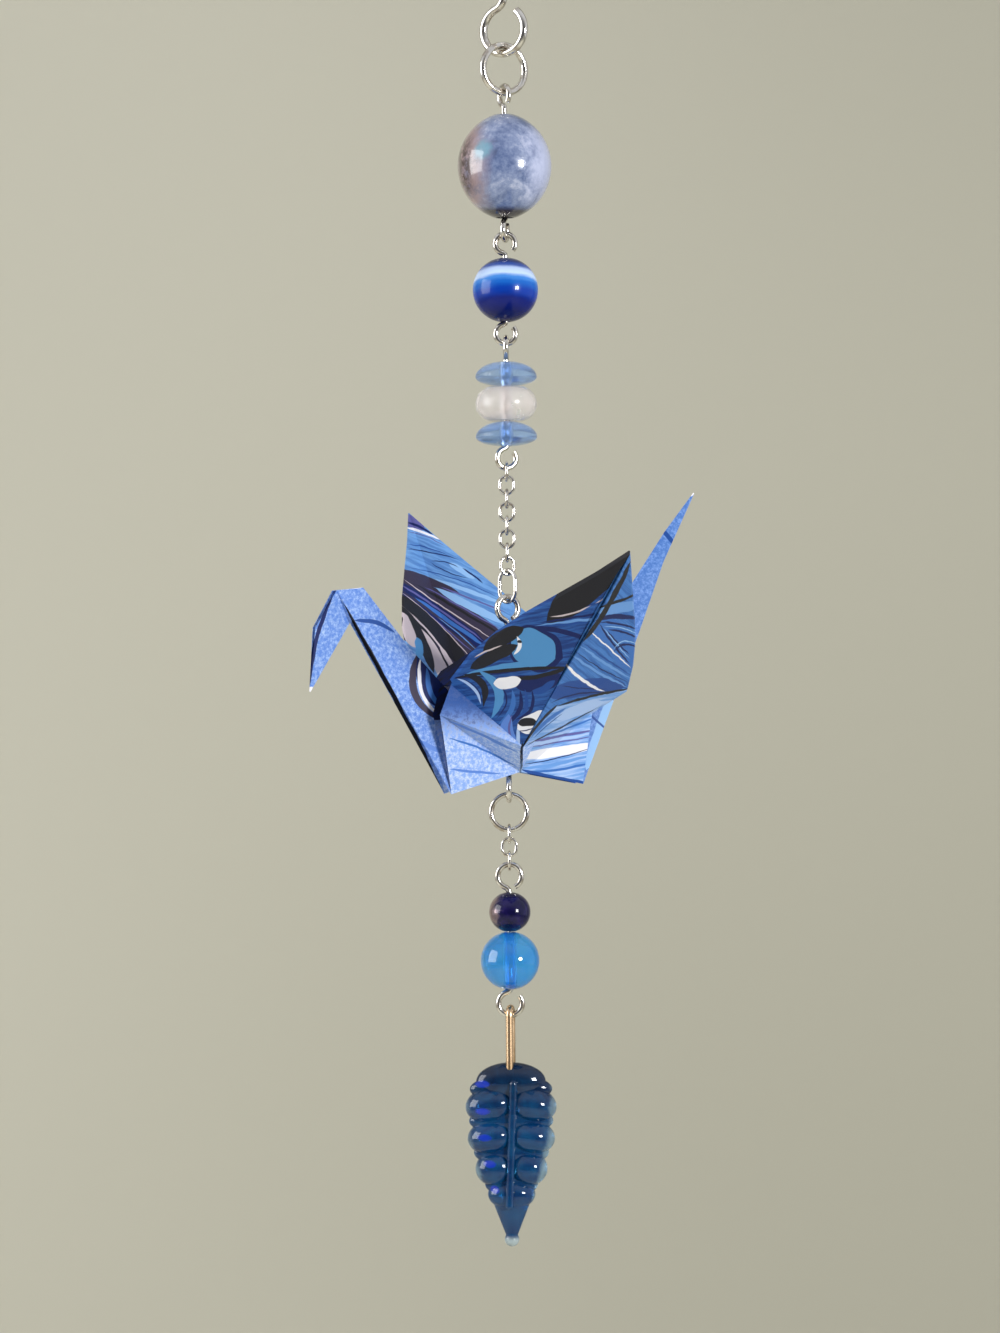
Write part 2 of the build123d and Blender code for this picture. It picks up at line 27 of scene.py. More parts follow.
class Field:
    """A number, colour or place that varies over a piece: one socket of its material."""

    def __init__(self, tree, socket):
        self.tree = tree
        self.socket = socket

    def node(self, kind, settings, inputs, output=0):
        made = self.tree.nodes.new(kind)
        for name, value in settings.items():
            if name == "stops":
                ramp = made.color_ramp
                while len(ramp.elements) < len(value):
                    ramp.elements.new(1.0)
                for element, (place, colour) in zip(ramp.elements, value):
                    element.position = place
                    element.color = (*colour, 1.0)
            elif name == "ramp":
                made.color_ramp.interpolation = value
            else:
                setattr(made, name, value)
        for name, value in inputs.items():
            if isinstance(value, Field):
                self.tree.links.new(value.socket, made.inputs[name])
            elif hasattr(value, "__len__") and made.inputs[name].type == "RGBA":
                made.inputs[name].default_value = (*value[:3], 1.0)
            else:
                made.inputs[name].default_value = value
        return Field(self.tree, made.outputs[output])

    def math(self, operation, *values):
        return self.node("ShaderNodeMath", {"operation": operation}, dict(enumerate(values)))

    def __add__(self, other):
        return self.math("ADD", self, other)

    def __radd__(self, other):
        return self.math("ADD", other, self)

    def __sub__(self, other):
        return self.math("SUBTRACT", self, other)

    def __rsub__(self, other):
        return self.math("SUBTRACT", other, self)

    def __mul__(self, other):
        return self.math("MULTIPLY", self, other)

    def __truediv__(self, other):
        return self.math("DIVIDE", self, other)

    def __rtruediv__(self, other):
        return self.math("DIVIDE", other, self)

    def __neg__(self):
        return self.math("MULTIPLY", self, -1.0)

    def __gt__(self, other):
        return self.math("GREATER_THAN", self, other)

    def __lt__(self, other):
        return self.math("LESS_THAN", self, other)

    def __abs__(self):
        return self.math("ABSOLUTE", self)

    def __pow__(self, other):
        return self.math("POWER", self, other)

    def step(self, low, high):
        """0 below low, 1 above high, and smooth between."""
        settings = {"interpolation_type": "SMOOTHSTEP"}
        return self.node("ShaderNodeMapRange", settings, {"Value": self, "From Min": low, "From Max": high})

    def blend(self, below, above):
        """The colour below where this is 0, and the colour above where it is 1."""
        return self.node("ShaderNodeMix", {"data_type": "RGBA"}, {0: self, 6: below, 7: above}, 2)

    def noise(self, scale, detail=3.0, rough=0.5, warp=0.0):
        inputs = {"Vector": self, "Scale": scale, "Detail": detail, "Roughness": rough, "Distortion": warp}
        return self.node("ShaderNodeTexNoise", {}, inputs)

    def axes(self):
        """The three parts of a place."""
        split = self.node("ShaderNodeSeparateXYZ", {}, {0: self})
        return [Field(self.tree, socket) for socket in split.socket.node.outputs]


def new_finish(name, **constants):
    """A material with one surface shader and its constant settings, and the place on the piece in metres."""
    material = bpy.data.materials.new(name)
    material.use_nodes = True
    tree = material.node_tree
    shader = tree.nodes["Principled BSDF"]
    for socket, value in constants.items():
        shader.inputs[socket.replace("_", " ")].default_value = value
    place = Field(tree, tree.nodes.new("ShaderNodeTexCoord").outputs["Object"])
    return material, shader, place


def varies(shader, place, **fields):
    """Links fields that change over the piece to its shader."""
    for socket, field in fields.items():
        place.tree.links.new(field.socket, shader.inputs[socket.replace("_", " ")])


def raised(place, height, depth):
    """The surface pushed out by a height field, of this depth in metres."""
    return place.node("ShaderNodeBump", {}, {"Height": height, "Distance": depth, "Strength": 1.0})


def dress(finish, *names):
    for name in names:
        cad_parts[name].material_slots[0].material = finish


silver_plate, shader, place = new_finish("silver_plate", Metallic=1.0)
rubbed = place.noise(900.0, 4.0, 0.6).step(0.40, 0.70)
drawn = place.noise(7000.0, 2.0)
varies(
    shader,
    place,
    Base_Color=rubbed.blend((0.84, 0.81, 0.76), (0.52, 0.45, 0.37)),
    Roughness=0.10 + rubbed * 0.14,
    Normal=raised(place, drawn, 3e-06),
)
wire_pieces = ["hanger_hook", "top_jump_ring", "glazed_bead_pin", "cats_eye_pin", "disc_stack_pin"]
wire_pieces += [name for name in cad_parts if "chain_link" in name]
wire_pieces += ["oval_link", "crane_pin", "crane_ring", "drop_pin"]
dress(silver_plate, *wire_pieces)

# Glazed bead: a thrown ceramic bead dipped in a mottled lavender and grey-blue glaze.
# The glaze breaks to brown and rose along one side and to pale streaks along the other,
# holds a small teal pool between them, and is painted near-black round the lower mouth as shade in the bore.

lavender_glaze, shader, place = new_finish("lavender_glaze", Coat_Roughness=0.03, Coat_Weight=1.0)
clouds = place.noise(230.0, 5.0, 0.62, 0.6)
flecks = place.noise(1500.0, 4.0, 0.7)
east, north, height = place.axes()
bead_drop = 0.0417
bead_half_height = 0.0063
bead_radius = 0.00575
rise = (height + bead_drop) / bead_half_height
side = east / bead_radius + (clouds - 0.5) * 0.9
tone = clouds * 0.85 + flecks * 0.45 - 0.16
glaze = place.node(
    "ShaderNodeValToRGB",
    {
        "stops": [
            (0.26, (0.045, 0.070, 0.16)),
            (0.42, (0.105, 0.15, 0.30)),
            (0.55, (0.205, 0.26, 0.43)),
            (0.70, (0.44, 0.48, 0.63)),
        ]
    },
    {0: tone},
)
pale_streaks = (side + flecks * 0.3).step(0.45, 1.0) * 0.75
glaze = pale_streaks.blend(glaze, (0.52, 0.56, 0.76))
rose_break = (-side).step(0.20, 0.70) * clouds.step(0.25, 0.55)
glaze = rose_break.blend(glaze, (0.36, 0.25, 0.25))
brown_break = (-side - abs(rise) * 0.2).step(0.45, 0.85) * flecks.step(0.34, 0.56)
glaze = brown_break.blend(glaze, (0.075, 0.045, 0.045))
pool_middle = (-0.0026, -0.0048, -0.0403)
pool = place.node("ShaderNodeVectorMath", {"operation": "DISTANCE"}, {0: place, 1: pool_middle}, 1)
teal_pool = (pool + flecks * 0.0012).step(0.0022, 0.0012) * 0.75
glaze = teal_pool.blend(glaze, (0.16, 0.38, 0.50))
# Painted shade: near-black round the lower mouth of the bore.
painted_mouth_shade = (clouds * 0.12 - rise).step(0.86, 0.98)
varies(
    shader,
    place,
    Base_Color=painted_mouth_shade.blend(glaze, (0.030, 0.026, 0.040)),
    Roughness=0.16 + clouds * 0.14,
    Normal=raised(place, clouds, 9e-05),
)
dress(lavender_glaze, "glazed_bead")

# Cat's-eye bead: a rod of fused blue fibre glass, cut across and ground round.
# The shine of its close fibres is painted into its colour as one pale band over the upper half, with azure under
# it, then deep cobalt.

cats_eye_glass, shader, place = new_finish(
    "cats_eye_glass", Coat_Weight=0.35, Coat_Roughness=0.02, Specular_IOR_Level=0.15
)
east, north, height = place.axes()
drawn_out = {"Vector": place, "Scale": (90.0, 90.0, 2600.0)}
fibres = place.node("ShaderNodeMapping", {}, drawn_out).noise(1.0, 3.0)
cloud = place.noise(330.0, 3.0, 0.5, 0.5)
bead_drop = 0.0568
bead_radius = 0.0039
painted_shine_tilt = 0.22
# Painted reflection: the pale band of the fibres' shine, placed by height with a slight tilt.
painted_shine_level = (height + bead_drop) / bead_radius + north / bead_radius * painted_shine_tilt + fibres * 0.10 + cloud * 0.16 - 0.13
blue = place.node(
    "ShaderNodeValToRGB",
    {
        "stops": [
            (0.02, (0.002, 0.006, 0.09)),
            (0.20, (0.001, 0.009, 0.16)),
            (0.36, (0.002, 0.040, 0.36)),
            (0.48, (0.006, 0.120, 0.52)),
            (0.56, (0.050, 0.235, 0.68)),
            (0.64, (0.55, 0.71, 0.98)),
            (0.71, (0.50, 0.64, 0.94)),
            (0.80, (0.045, 0.095, 0.38)),
            (0.90, (0.010, 0.024, 0.13)),
        ],
        "ramp": "EASE",
    },
    {0: painted_shine_level * 0.5 + 0.5},
)
varies(shader, place, Base_Color=blue, Roughness=0.20 + fibres * 0.1)
dress(cats_eye_glass, "cats_eye_bead")

# Stack of discs: two domed discs of pale blue pressed glass, lightly frosted and clear enough
# to show their bores, with a milky rose-white rondelle of tumbled glass between them.

frosted_blue, shader, place = new_finish("frosted_blue_glass", Transmission_Weight=0.85, IOR=1.42)
frost = place.noise(5200.0, 3.0, 0.6)
wash = place.noise(300.0, 2.0)
varies(
    shader,
    place,
    Base_Color=wash.step(0.3, 0.7).blend((0.37, 0.58, 0.96), (0.52, 0.71, 1.0)),
    Roughness=0.10 + frost * 0.12,
    Normal=raised(place, frost, 4e-06),
)
dress(frosted_blue, "upper_blue_disc", "lower_blue_disc")

milky_glass, shader, place = new_finish("milky_glass", Transmission_Weight=0.7, Coat_Weight=0.4, IOR=1.35)
veil = place.noise(380.0, 3.0, 0.55, 0.8)
varies(
    shader,
    place,
    Base_Color=veil.step(0.3, 0.75).blend((0.98, 0.91, 0.90), (1.0, 0.98, 0.97)),
    Roughness=0.18 + veil * 0.14,
)
dress(milky_glass, "white_rondelle")

# Paper crane: one square of marbled paper, folded by hand and pierced through its back for the pin.
# Blue, navy, black and white colour floated on water lies on its outside as combed streaks and loops,
# and neck, head, tail and front panel show the sheet's paler, brushed periwinkle quarter.
# The black lines along its folds and the dark edges down its neck and head are painted shade.

white = (0.87, 0.87, 0.94)
rose = (0.617, 0.527, 0.565)
pale_periwinkle = (0.40, 0.56, 0.89)
periwinkle = (0.105, 0.235, 0.67)
pale_sky = (0.287, 0.515, 0.855)
sky = (0.138, 0.323, 0.716)
cyan = (0.080, 0.283, 0.597)
mid_blue = (0.042, 0.162, 0.515)
royal = (0.013, 0.069, 0.305)
violet = (0.117, 0.117, 0.352)
navy = (0.0044, 0.0144, 0.107)
plum = (0.040, 0.032, 0.065)
black = (0.013, 0.013, 0.019)

# Every mark is a colour, its half width and its start, middle and end, in millimetres
# right of the hanging line and below the bird's back, as the bird shows them from its front.

far_wing_marks = [
    (violet, 0.67, (-12.8, -13.8), (-11.9, -13.2), (-10.1, -12.1)),
    (navy, 0.18, (-12.5, -13.1), (-10.5, -12.3), (-8.9, -11.4)),
    (white, 0.18, (-12.6, -12.5), (-10.5, -11.8), (-8.0, -10.8)),
    (violet, 0.08, (-12.5, -11.9), (-10.1, -11.3), (-7.4, -9.9)),
    (royal, 0.08, (-12.6, -10.3), (-9.9, -9.9), (-7.0, -8.7)),
    (navy, 0.1, (-12.6, -9.8), (-9.5, -9.3), (-5.8, -8.3)),
    (pale_sky, 0.39, (-7.2, -8.0), (-5.8, -7.2), (-4.0, -6.0)),
    (navy, 0.08, (-9.5, -8.2), (-8.0, -8.2), (-5.8, -7.3)),
    (navy, 0.08, (-9.5, -8.2), (-8.0, -7.2), (-4.6, -6.1)),
    (navy, 0.14, (-5.6, -7.4), (-4.4, -6.6), (-2.9, -5.4)),
    (royal, 0.08, (-12.6, -7.5), (-8.0, -6.6), (-0.7, -3.5)),
    (pale_sky, 0.27, (-9.5, -6.2), (-5.4, -4.8), (-0.3, -2.9)),
    (plum, 3.72, (-21.0, -8.0), (-9.3, -0.9), (2.4, 6.2)),
    (plum, 0.51, (-15.6, -7.6), (-11.1, -6.3), (-5.8, -4.2)),
    (violet, 0.14, (-8.5, -5.2), (-5.0, -3.8), (0.1, -1.8)),
    (pale_sky, 0.47, (-8.9, -5.0), (-4.6, -2.7), (0.5, -0.3)),
    (violet, 0.12, (-10.5, -5.3), (-6.0, -2.8), (-0.3, 0.5)),
    (black, 0.18, (-11.5, -5.6), (-6.0, -2.3), (0.1, 1.3)),
    (rose, 0.1, (-13.2, -6.4), (-8.0, -2.7), (-1.1, 1.8)),
    (navy, 0.86, (-14.8, -6.4), (-8.3, -1.7), (-1.5, 3.2)),
    (violet, 0.16, (-13.6, -5.8), (-8.5, -2.4), (-2.7, 1.8)),
    (mid_blue, 0.27, (-11.5, -3.9), (-6.8, -0.6), (-2.5, 2.4)),
    (plum, 0.16, (-13.6, -5.2), (-8.9, -1.7), (-3.5, 2.6)),
    (sky, 0.08, (-8.7, -1.5), (-6.2, 0.5), (-3.5, 2.9)),
    (violet, 0.1, (-10.5, -2.5), (-7.4, 0.2), (-4.0, 3.1)),
    (rose, 0.1, (-13.4, -4.8), (-9.1, -1.2), (-4.0, 4.3)),
    (black, 0.98, (-14.8, -4.8), (-9.2, -0.0), (-4.2, 5.7)),
    (rose, 0.14, (-13.2, -3.1), (-9.7, 0.4), (-6.2, 5.1)),
    (rose, 0.33, (-8.3, 2.2), (-7.0, 4.3), (-5.8, 6.3)),
    (black, 0.29, (-13.2, -2.5), (-9.5, 1.4), (-6.6, 6.7)),
    (rose, 0.74, (-11.5, -0.5), (-8.8, 3.6), (-7.0, 8.1)),
    (black, 0.63, (-13.0, -2.9), (-10.7, 1.1), (-9.0, 5.5)),
    (rose, 0.74, (-13.0, -2.1), (-12.3, -0.0), (-11.2, 2.4)),
    (black, 0.18, (-12.9, -1.5), (-13.0, -0.8), (-13.1, -0.1)),
    (cyan, 0.51, (-11.1, 1.0), (-10.8, 2.3), (-10.9, 3.8)),
]
front_half_marks = [
    (sky, 0.22, (2.6, 0.0), (6.4, -0.6), (11.7, -1.1)),
    (royal, 0.16, (2.6, -0.1), (6.4, -0.4), (11.7, -0.8)),
    (navy, 0.34, (2.3, 0.0), (6.1, 0.3), (10.5, 2.1)),
    (black, 1.88, (4.7, -0.6), (9.5, -4.8), (16.4, -9.7)),
    (rose, 0.13, (5.0, -1.3), (8.0, -1.8), (10.3, -2.8)),
    (rose, 0.09, (10.6, -2.9), (12.0, -3.6), (13.2, -4.4)),
    (navy, 0.16, (3.7, -0.6), (6.7, -1.0), (12.0, -2.0)),
    (navy, 2.63, (-0.0, 1.1), (3.6, 2.7), (6.7, 3.8)),
    (navy, 0.44, (-6.8, 6.1), (-0.8, 5.2), (5.8, 4.3)),
    (cyan, 2.25, (0.5, 1.0), (3.2, 2.6), (5.8, 3.8)),
    (cyan, 0.47, (-5.8, 5.9), (-0.8, 4.9), (5.5, 3.8)),
    (black, 0.94, (-3.0, 2.8), (-0.6, 1.2), (2.0, -0.1)),
    (black, 0.81, (-4.7, 5.0), (-1.7, 3.4), (1.2, 2.1)),
    (rose, 0.13, (-4.2, 3.6), (-2.1, 2.6), (-0.6, 2.1)),
    (white, 0.28, (0.7, 3.3), (1.4, 2.3), (1.1, 1.0)),
    (black, 0.22, (1.1, 1.7), (1.4, 1.7), (1.7, 1.8)),
    (navy, 1.06, (0.1, 6.3), (4.2, 6.8), (6.7, 5.8)),
    (black, 0.25, (-6.8, 6.1), (-0.5, 5.2), (8.0, 4.9)),
    (black, 0.31, (0.1, 6.3), (3.9, 5.9), (8.0, 4.6)),
    (royal, 0.44, (2.6, 8.0), (4.2, 7.5), (5.8, 6.4)),
    (cyan, 0.63, (-3.6, 5.2), (-1.1, 7.9), (-2.1, 11.1)),
    (navy, 0.13, (-2.1, 6.0), (-0.2, 8.3), (-1.8, 11.3)),
    (black, 0.47, (-5.5, 5.6), (-3.1, 6.9), (-3.1, 9.7)),
    (pale_periwinkle, 0.22, (-6.3, 6.1), (-4.4, 7.1), (-3.3, 9.4)),
    (navy, 0.09, (-6.0, 6.1), (-4.0, 7.1), (-3.2, 9.3)),
    (mid_blue, 0.34, (0.5, 7.5), (0.5, 9.6), (-1.3, 11.8)),
    (navy, 0.31, (1.4, 7.4), (1.4, 9.9), (-1.0, 12.1)),
    (royal, 0.28, (2.0, 7.4), (2.1, 9.9), (-0.2, 12.1)),
    (navy, 0.25, (2.8, 7.4), (2.9, 9.6), (0.8, 11.3)),
    (white, 0.75, (-1.8, 6.8), (-0.1, 6.7), (1.6, 6.4)),
    (periwinkle, 0.81, (-0.0, 10.5), (-0.2, 12.7), (1.2, 15.2)),
    (violet, 0.16, (0.5, 10.5), (0.1, 12.7), (0.8, 14.7)),
    (pale_periwinkle, 0.25, (1.4, 11.8), (1.1, 13.3), (1.5, 15.1)),
    (white, 1.13, (1.1, 12.4), (3.0, 11.6), (5.1, 10.5)),
    (black, 0.53, (1.2, 11.7), (2.3, 11.5), (3.5, 11.5)),
    (navy, 0.09, (1.1, 12.6), (2.3, 12.5), (3.3, 12.1)),
]
rear_half_marks = [
    (royal, 1.06, (4.5, 8.3), (8.9, 7.4), (14.5, 7.1)),
    (navy, 0.13, (4.8, 9.3), (8.0, 8.2), (12.3, 8.0)),
    (navy, 0.09, (6.1, 7.1), (8.6, 7.4), (12.3, 7.5)),
    (sky, 0.19, (7.3, 3.0), (10.5, 5.2), (14.8, 7.4)),
    (navy, 0.09, (8.0, 2.8), (11.1, 4.9), (15.0, 6.9)),
    (sky, 0.19, (8.6, 2.1), (11.7, 4.3), (15.2, 6.4)),
    (royal, 0.13, (8.9, 1.7), (12.3, 4.1), (15.2, 6.0)),
    (mid_blue, 1.88, (10.8, -0.8), (13.9, 2.1), (15.5, 5.2)),
    (navy, 0.16, (11.1, -0.6), (13.6, -0.4), (16.1, 0.4)),
    (navy, 0.16, (11.1, -0.6), (12.6, 1.7), (15.0, 4.7)),
    (pale_sky, 0.09, (11.6, -0.1), (13.9, 0.1), (16.1, 1.0)),
    (pale_sky, 0.09, (11.6, -0.1), (13.0, 1.7), (15.0, 4.0)),
    (navy, 0.16, (12.1, 0.3), (14.1, 0.6), (16.1, 1.5)),
    (navy, 0.13, (12.1, 0.3), (13.3, 1.8), (15.0, 3.4)),
    (pale_sky, 0.09, (12.7, 3.0), (13.1, 1.9), (16.1, 2.4)),
    (navy, 0.16, (12.8, 3.2), (13.3, 2.2), (16.1, 2.8)),
    (sky, 0.69, (10.8, -1.9), (13.3, -2.3), (16.1, -2.8)),
    (navy, 0.31, (10.5, -0.8), (13.3, -1.3), (16.1, -1.0)),
    (black, 0.19, (10.8, -2.3), (13.6, -3.2), (16.4, -4.4)),
    (white, 0.13, (9.6, 0.0), (12.3, 2.5), (15.2, 5.2)),
    (white, 0.22, (6.7, 4.0), (8.4, 5.9), (11.9, 7.9)),
]
front_panel_marks = [
    (navy, 0.19, (-6.8, 6.8), (-4.9, 8.0), (-2.6, 10.3)),
    (periwinkle, 0.19, (-7.7, 11.2), (-4.0, 12.7), (1.4, 15.4)),
    (mid_blue, 0.16, (-7.7, 13.3), (-4.0, 14.5), (1.2, 17.1)),
    (periwinkle, 0.19, (-7.5, 17.1), (-4.5, 17.5), (-0.7, 17.8)),
]
rear_panel_marks = [
    (pale_periwinkle, 0.7, (5.8, 11.2), (7.9, 10.3), (11.7, 9.1)),
    (mid_blue, 0.23, (2.6, 13.6), (4.9, 11.2), (7.2, 9.7)),
    (royal, 0.09, (3.0, 13.6), (5.1, 11.6), (6.8, 10.3)),
    (mid_blue, 0.14, (4.0, 13.4), (7.2, 12.3), (11.0, 10.8)),
    (violet, 0.19, (2.1, 14.1), (6.1, 13.3), (11.0, 12.4)),
    (pale_periwinkle, 0.19, (2.1, 14.4), (6.1, 13.7), (11.0, 12.7)),
    (violet, 0.12, (2.1, 14.7), (6.1, 14.0), (11.0, 13.2)),
    (white, 0.61, (0.7, 15.9), (5.6, 15.2), (11.2, 14.3)),
    (navy, 0.09, (1.2, 16.8), (5.6, 16.0), (10.7, 14.5)),
    (sky, 0.23, (1.2, 17.2), (6.1, 16.6), (10.7, 15.4)),
    (mid_blue, 0.19, (1.9, 17.6), (6.3, 17.3), (10.5, 16.5)),
    (royal, 0.37, (1.4, 17.3), (5.6, 18.4), (10.0, 19.1)),
]
neck_marks = [
    (royal, 0.29, (-18.9, -1.0), (-16.1, -0.8), (-13.7, 0.5)),
    (periwinkle, 0.33, (-11.9, 13.2), (-10.2, 14.1), (-7.9, 15.2)),
    (navy, 1.31, (-10.6, 2.5), (-9.7, 6.5), (-7.4, 10.0)),
    (mid_blue, 0.33, (-9.9, 4.7), (-9.7, 7.0), (-8.1, 10.0)),
    (white, 0.26, (-10.5, 3.1), (-10.9, 6.5), (-8.2, 11.0)),
    (plum, 0.49, (-10.9, 2.8), (-11.8, 6.7), (-8.1, 11.4)),
    # Painted shade: a black line down the neck's open left edge.
    (black, 0.33, (-20.4, -3.8), (-14.0, 8.2), (-7.6, 21.1)),
    (black, 0.26, (-8.1, 9.0), (-7.9, 13.6), (-6.7, 20.8)),
    # Painted shade: a navy line down the head's left edge to the beak.
    (navy, 0.29, (-21.3, -4.1), (-23.2, 0.5), (-24.2, 7.0)),
    (white, 0.26, (-20.9, -4.8), (-19.2, -5.1), (-17.6, -5.0)),
    (white, 0.29, (-24.6, 7.8), (-24.2, 7.4), (-23.9, 7.0)),
]
tail_marks = [
    (royal, 0.29, (18.4, -12.4), (19.6, -11.1), (20.8, -9.7)),
    (pale_sky, 0.85, (12.7, 8.3), (11.7, 11.6), (9.4, 17.5)),
    (royal, 0.16, (9.7, 10.3), (10.9, 11.6), (12.2, 12.6)),
    (white, 0.33, (22.3, -15.9), (22.6, -16.3), (23.0, -16.7)),
]
# Painted shadow: black lines in the gaps along the near side's folds and layer edges, and in the slit by the near
# wing's tip.
painted_fold_shadows = [
    (black, 0.19, (1.4, 15.1), (3.8, 11.6), (6.2, 9.3)),
    (black, 0.19, (5.6, 9.7), (9.8, 8.5), (15.5, 7.4)),
    (black, 0.13, (1.7, 14.6), (5.8, 12.5), (11.4, 9.5)),
    (black, 0.19, (1.7, 13.8), (1.6, 15.2), (1.6, 17.4)),
    (black, 0.34, (15.2, -8.4), (12.7, -3.3), (9.0, 2.0)),
]


def tied(field, factor, addend):
    return field.math("MULTIPLY_ADD", field, factor, addend)


def streak(right, below, half_width, start, middle, end):
    """1 on a bowed streak that narrows at both ends."""
    run = (end[0] - start[0], end[1] - start[1])
    half = math.hypot(*run) / 2
    ahead = (run[0] / half / 2, run[1] / half / 2)
    bow = (middle[1] - start[1]) * ahead[0] - (middle[0] - start[0]) * ahead[1]
    heart = ((start[0] + end[0]) / 2 - bow * ahead[1], (start[1] + end[1]) / 2 + bow * ahead[0])
    lead = (ahead[0] / half, ahead[1] / half)
    lean = (-ahead[1] / half_width, ahead[0] / half_width)
    along = tied(right, lead[0], tied(below, lead[1], -heart[0] * lead[0] - heart[1] * lead[1]))
    across = tied(right, lean[0], tied(below, lean[1], -heart[0] * lean[0] - heart[1] * lean[1]))
    reach = along * along
    gap = tied(reach, reach, abs(tied(reach, bow / half_width, across)))
    return gap.step(1.0, 1.0 - min(0.6, 0.07 / half_width))


def combed(right, below, turn, low, high):
    """Fine streaks between two colours, drawn out along a turn in degrees."""
    flow = {0: right * 0.2, 1: below * 0.2}
    laid = right.node("ShaderNodeCombineXYZ", {}, flow)
    laid = {"Vector": laid, "Rotation": (0.0, 0.0, math.radians(turn)), "Scale": (0.9, 0.085, 1.0)}
    strands = right.node("ShaderNodeMapping", {"vector_type": "TEXTURE"}, laid).noise(1.0, 4.0, 0.6)
    return strands.step(0.36, 0.64).blend(low, high)


def marbled(right, below, ground, marks):
    for colour, *path in marks:
        ground = streak(right, below, *path).blend(ground, colour)
    return ground


marbled_paper, shader, place = new_finish("marbled_paper", Specular_IOR_Level=0.2)
east, north, height = place.axes()
front_distance = 0.45
front_left = 0.98
front_drop = 102.77
line_shift = 1.15
back_drop = 4.53
millimetres = 1000.0
wobble = 0.34
nearness = front_distance / (north + front_distance)
right = (east * millimetres + front_left) * nearness + place.noise(420.0, 2.0) * wobble - line_shift
below = back_drop - (height * millimetres + front_drop) * nearness + place.noise(390.0, 2.0) * wobble

sheet_side = 0.085
body_height = -0.09814
body_turn = math.radians(22.0)
laid = {"Vector": place, "Location": (0.0, 0.0, body_height), "Rotation": (0.0, 0.0, body_turn)}
laid["Scale"] = (sheet_side, sheet_side, sheet_side)
tailward, away, up = place.node("ShaderNodeMapping", {"vector_type": "TEXTURE"}, laid).axes()
spread = abs(away)
keel = 0.012
slim_width = 0.032
crease = tailward.math("MAXIMUM", (tailward + keel) * -0.5, (tailward + keel) * 0.202) - 0.083
on_wing = (spread > slim_width) * ((spread + up) > crease)
behind_keel = tailward > (spread * -0.0154 - 0.0107)
neck_edge = up.math("MAXIMUM", (up + 0.235) * -0.221 - 0.094, (up + 0.122) * 0.33 - 0.119)
slim = spread < slim_width
on_neck = slim * (tailward < neck_edge)
on_tail = slim * (tailward > (up * 0.059 + 0.123))

brushed = place.noise(2300.0, 5.0, 0.75).step(0.40, 0.70)
brushed_blue = brushed.blend(periwinkle, pale_periwinkle)
panel_top = (below - brushed * 2.4).step(13.0, 8.5) * 0.9
panel_low = brushed.blend((0.24, 0.40, 0.84), (0.68, 0.78, 0.97))
panel_ground = panel_top.blend(panel_low, royal)
panels = marbled(right, below, panel_ground, front_panel_marks)
rear_ground = combed(right, below, -11.0, sky, pale_periwinkle)
rear_panel = marbled(right, below, rear_ground, rear_panel_marks)
panels = (tailward > 0.011).blend(panels, rear_panel)
panels = (slim * (up > -0.13)).blend(panels, combed(right, below, -40.0, black, navy))
panels = on_neck.blend(panels, marbled(right, below, brushed_blue, neck_marks))
tail_ground = brushed.blend((0.075, 0.19, 0.53), (0.22, 0.38, 0.78))
panels = on_tail.blend(panels, marbled(right, below, tail_ground, tail_marks))
rear_ground = combed(right, below, 42.0, (0.022, 0.115, 0.40), (0.065, 0.22, 0.60))
rear_half = marbled(right, below, rear_ground, rear_half_marks)
under_crease = (below > (10.95 - right * 0.232)) * (below > (16.2 - right * 1.12))
front_ground = combed(right, below, -8.0, (0.008, 0.040, 0.20), (0.026, 0.115, 0.40))
front_half = marbled(right, below, front_ground, front_half_marks)
near_wing = behind_keel.blend(front_half, under_crease.blend(rear_half, rear_panel))
far_ground = combed(right, below, 24.0, (0.085, 0.225, 0.54), (0.17, 0.38, 0.74))
far_wing = marbled(right, below, far_ground, far_wing_marks)
wings = (away > 0.0).blend(near_wing, far_wing)
near_side = away < 0.0
folded = on_wing.blend(panels, wings)
# Lays the painted fold shadows over the near side.
for colour, *path in painted_fold_shadows:
    folded = (streak(right, below, *path) * near_side).blend(folded, colour)
fibre = place.noise(7000.0, 4.0, 0.6)
varies(shader, place, Base_Color=folded, Roughness=0.36 + fibre * 0.2, Normal=raised(place, fibre, 1.2e-05))
dress(marbled_paper, "paper_crane")

# Drop pin's beads: a small dark glass bead, fired with a purple lustre that rubs off in pink flecks, kept to its
# left side as a painted reflection as well as wear, over a larger pressed bead of opal blue glass with its bore
# showing through.

dark_lustre, shader, place = new_finish(
    "dark_lustre_glass", Coat_Weight=0.5, Coat_Roughness=0.02, Specular_IOR_Level=0.15
)
lustre = place.noise(700.0, 4.0, 0.6, 0.5)
east, north, height = place.axes()
bead_radius = 0.0026
# Painted reflection and wear: pink lustre flecks, only on the bead's left side.
worn_and_painted_reflection = (lustre * 1.2 - east / bead_radius).step(1.10, 1.50)
sheen = lustre.step(0.35, 0.75).blend((0.002, 0.002, 0.030), (0.010, 0.005, 0.075))
varies(
    shader,
    place,
    Base_Color=worn_and_painted_reflection.blend(sheen, (0.30, 0.22, 0.22)),
    Roughness=0.08 + lustre * 0.10,
    Metallic=worn_and_painted_reflection * 0.7,
)
dress(dark_lustre, "dark_bead")

opal_blue, shader, place = new_finish("opal_blue_glass", Transmission_Weight=0.75, Coat_Weight=0.5, IOR=1.4)
cloud = place.noise(330.0, 3.0, 0.5, 0.6)
varies(
    shader,
    place,
    Base_Color=cloud.step(0.3, 0.75).blend((0.03, 0.40, 1.0), (0.10, 0.52, 1.0)),
    Roughness=0.04 + cloud * 0.05,
)
dress(opal_blue, "blue_bead")

